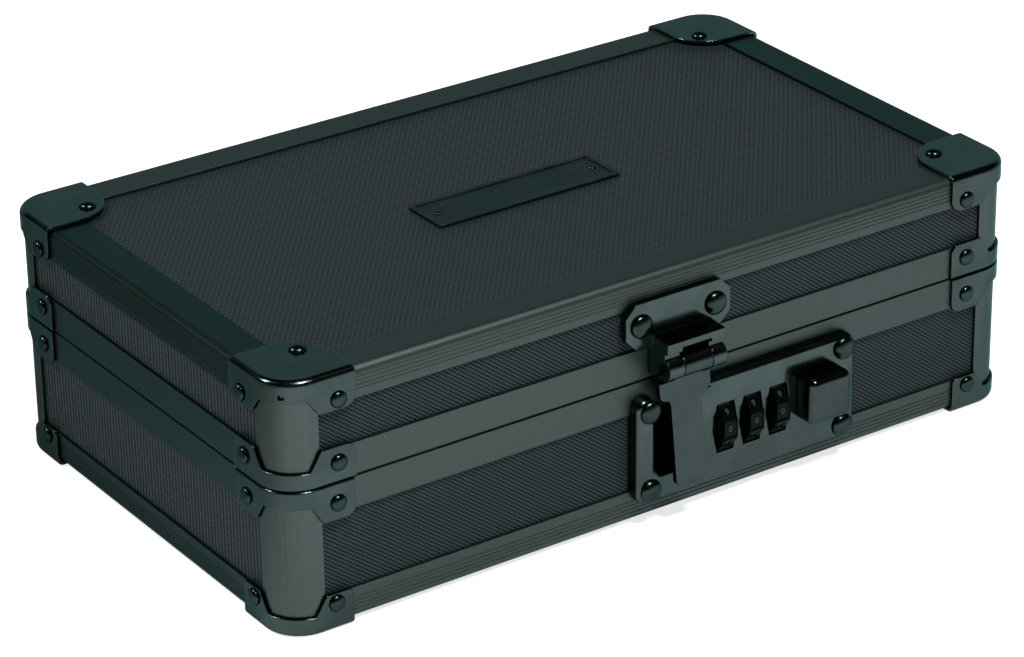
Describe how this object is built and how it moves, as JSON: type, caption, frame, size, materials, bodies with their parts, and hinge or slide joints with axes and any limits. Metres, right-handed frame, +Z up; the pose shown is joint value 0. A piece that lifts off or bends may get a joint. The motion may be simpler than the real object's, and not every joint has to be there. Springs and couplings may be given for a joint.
{
  "type": "cash box",
  "caption": "Rail-framed cash box with woven-look panels, riveted steel corners, a hinged lid and a hasp closed by a dial combination lock.",
  "frame": {"origin": "on the floor under the middle of the whole object's footprint", "axes": "+X along the length, from the left end to the right end seen from the lock; the lock faces -Y; +Z up"},
  "size_m": [0.218, 0.1424, 0.0668],
  "materials": {
    "panel_laminate": "dark grey embossed woven-look laminate on fibreboard",
    "rail_aluminium": "satin black anodised extrusion, brushed along its length",
    "corner_steel": "black nickel plated pressed steel, semi gloss",
    "lock_steel": "black nickel plated steel, glossy",
    "dial_plastic": "glossy black moulded plastic with pale digits",
    "lining_felt": "black felt lining",
    "spring_steel": "bright steel",
    "name_plate_metal": "black lacquered metal, bare"
  },
  "bodies": {
    "base": {"base_back_panel": "panel_laminate", "base_bottom_corners": "corner_steel", "base_bottom_rail_back": "rail_aluminium", "base_bottom_rail_front": "rail_aluminium", "base_bottom_rail_left": "rail_aluminium", "base_bottom_rail_right": "rail_aluminium", "base_corner_posts": "rail_aluminium", "base_corner_rivets": "corner_steel", "base_floor_panel": "panel_laminate", "base_front_panel": "panel_laminate", "base_left_panel": "panel_laminate", "base_lining": "lining_felt", "base_mouth_corners": "corner_steel", "base_mouth_rail_back": "rail_aluminium", "base_mouth_rail_front": "rail_aluminium", "base_mouth_rail_left": "rail_aluminium", "base_mouth_rail_right": "rail_aluminium", "base_right_panel": "panel_laminate", "detent_spring": "spring_steel", "dial_axle": "spring_steel", "hinge_base_leaves": "corner_steel", "hinge_base_rivets": "corner_steel", "hinge_pins": "spring_steel", "lock_cover": "corner_steel", "lock_cover_screws": "corner_steel", "lock_plate": "lock_steel", "lock_plate_rivets": "lock_steel"},
    "lid": {"hasp_bracket": "lock_steel", "hasp_bracket_rivets": "lock_steel", "hasp_pin": "spring_steel", "hinge_lid_leaves": "corner_steel", "hinge_lid_rivets": "corner_steel", "lid_back_panel": "panel_laminate", "lid_corner_posts": "rail_aluminium", "lid_corner_rivets": "corner_steel", "lid_front_panel": "panel_laminate", "lid_left_panel": "panel_laminate", "lid_lining": "lining_felt", "lid_mouth_corners": "corner_steel", "lid_mouth_rail_back": "rail_aluminium", "lid_mouth_rail_front": "rail_aluminium", "lid_mouth_rail_left": "rail_aluminium", "lid_mouth_rail_right": "rail_aluminium", "lid_right_panel": "panel_laminate", "lid_top_corners": "corner_steel", "lid_top_panel": "panel_laminate", "lid_top_rail_back": "rail_aluminium", "lid_top_rail_front": "rail_aluminium", "lid_top_rail_left": "rail_aluminium", "lid_top_rail_right": "rail_aluminium", "name_plate": "name_plate_metal", "name_plate_pins": "name_plate_metal"},
    "hasp": {"hasp_flap": "lock_steel", "hasp_staple": "lock_steel"},
    "latch": {"latch_slide": "lock_steel", "latch_knob": "lock_steel"},
    "dial_left": {"dial_left": "dial_plastic"},
    "dial_middle": {"dial_middle": "dial_plastic"},
    "dial_right": {"dial_right": "dial_plastic"}
  },
  "joints": [
    {"name": "lid_hinge", "type": "hinge", "parent": "base", "child": "lid", "pos_m": [0, 0.06593, 0.03785], "axis": [-1, 0, 0], "range_deg": [0, 105]},
    {"name": "hasp_swing", "type": "hinge", "parent": "lid", "child": "hasp", "pos_m": [0.0033, -0.06797, 0.0425], "axis": [-1, 0, 0], "range_deg": [0, 150]},
    {"name": "latch_slide", "type": "slide", "parent": "base", "child": "latch", "axis": [-1, 0, 0], "range_m": [0, 0.0025]},
    {"name": "dial_left_spin", "type": "hinge", "parent": "base", "child": "dial_left", "pos_m": [0.0155, -0.06017, 0.02], "axis": [1, 0, 0], "continuous": true},
    {"name": "dial_middle_spin", "type": "hinge", "parent": "base", "child": "dial_middle", "pos_m": [0.0235, -0.06017, 0.02], "axis": [1, 0, 0], "continuous": true},
    {"name": "dial_right_spin", "type": "hinge", "parent": "base", "child": "dial_right", "pos_m": [0.0315, -0.06017, 0.02], "axis": [1, 0, 0], "continuous": true}
  ]
}
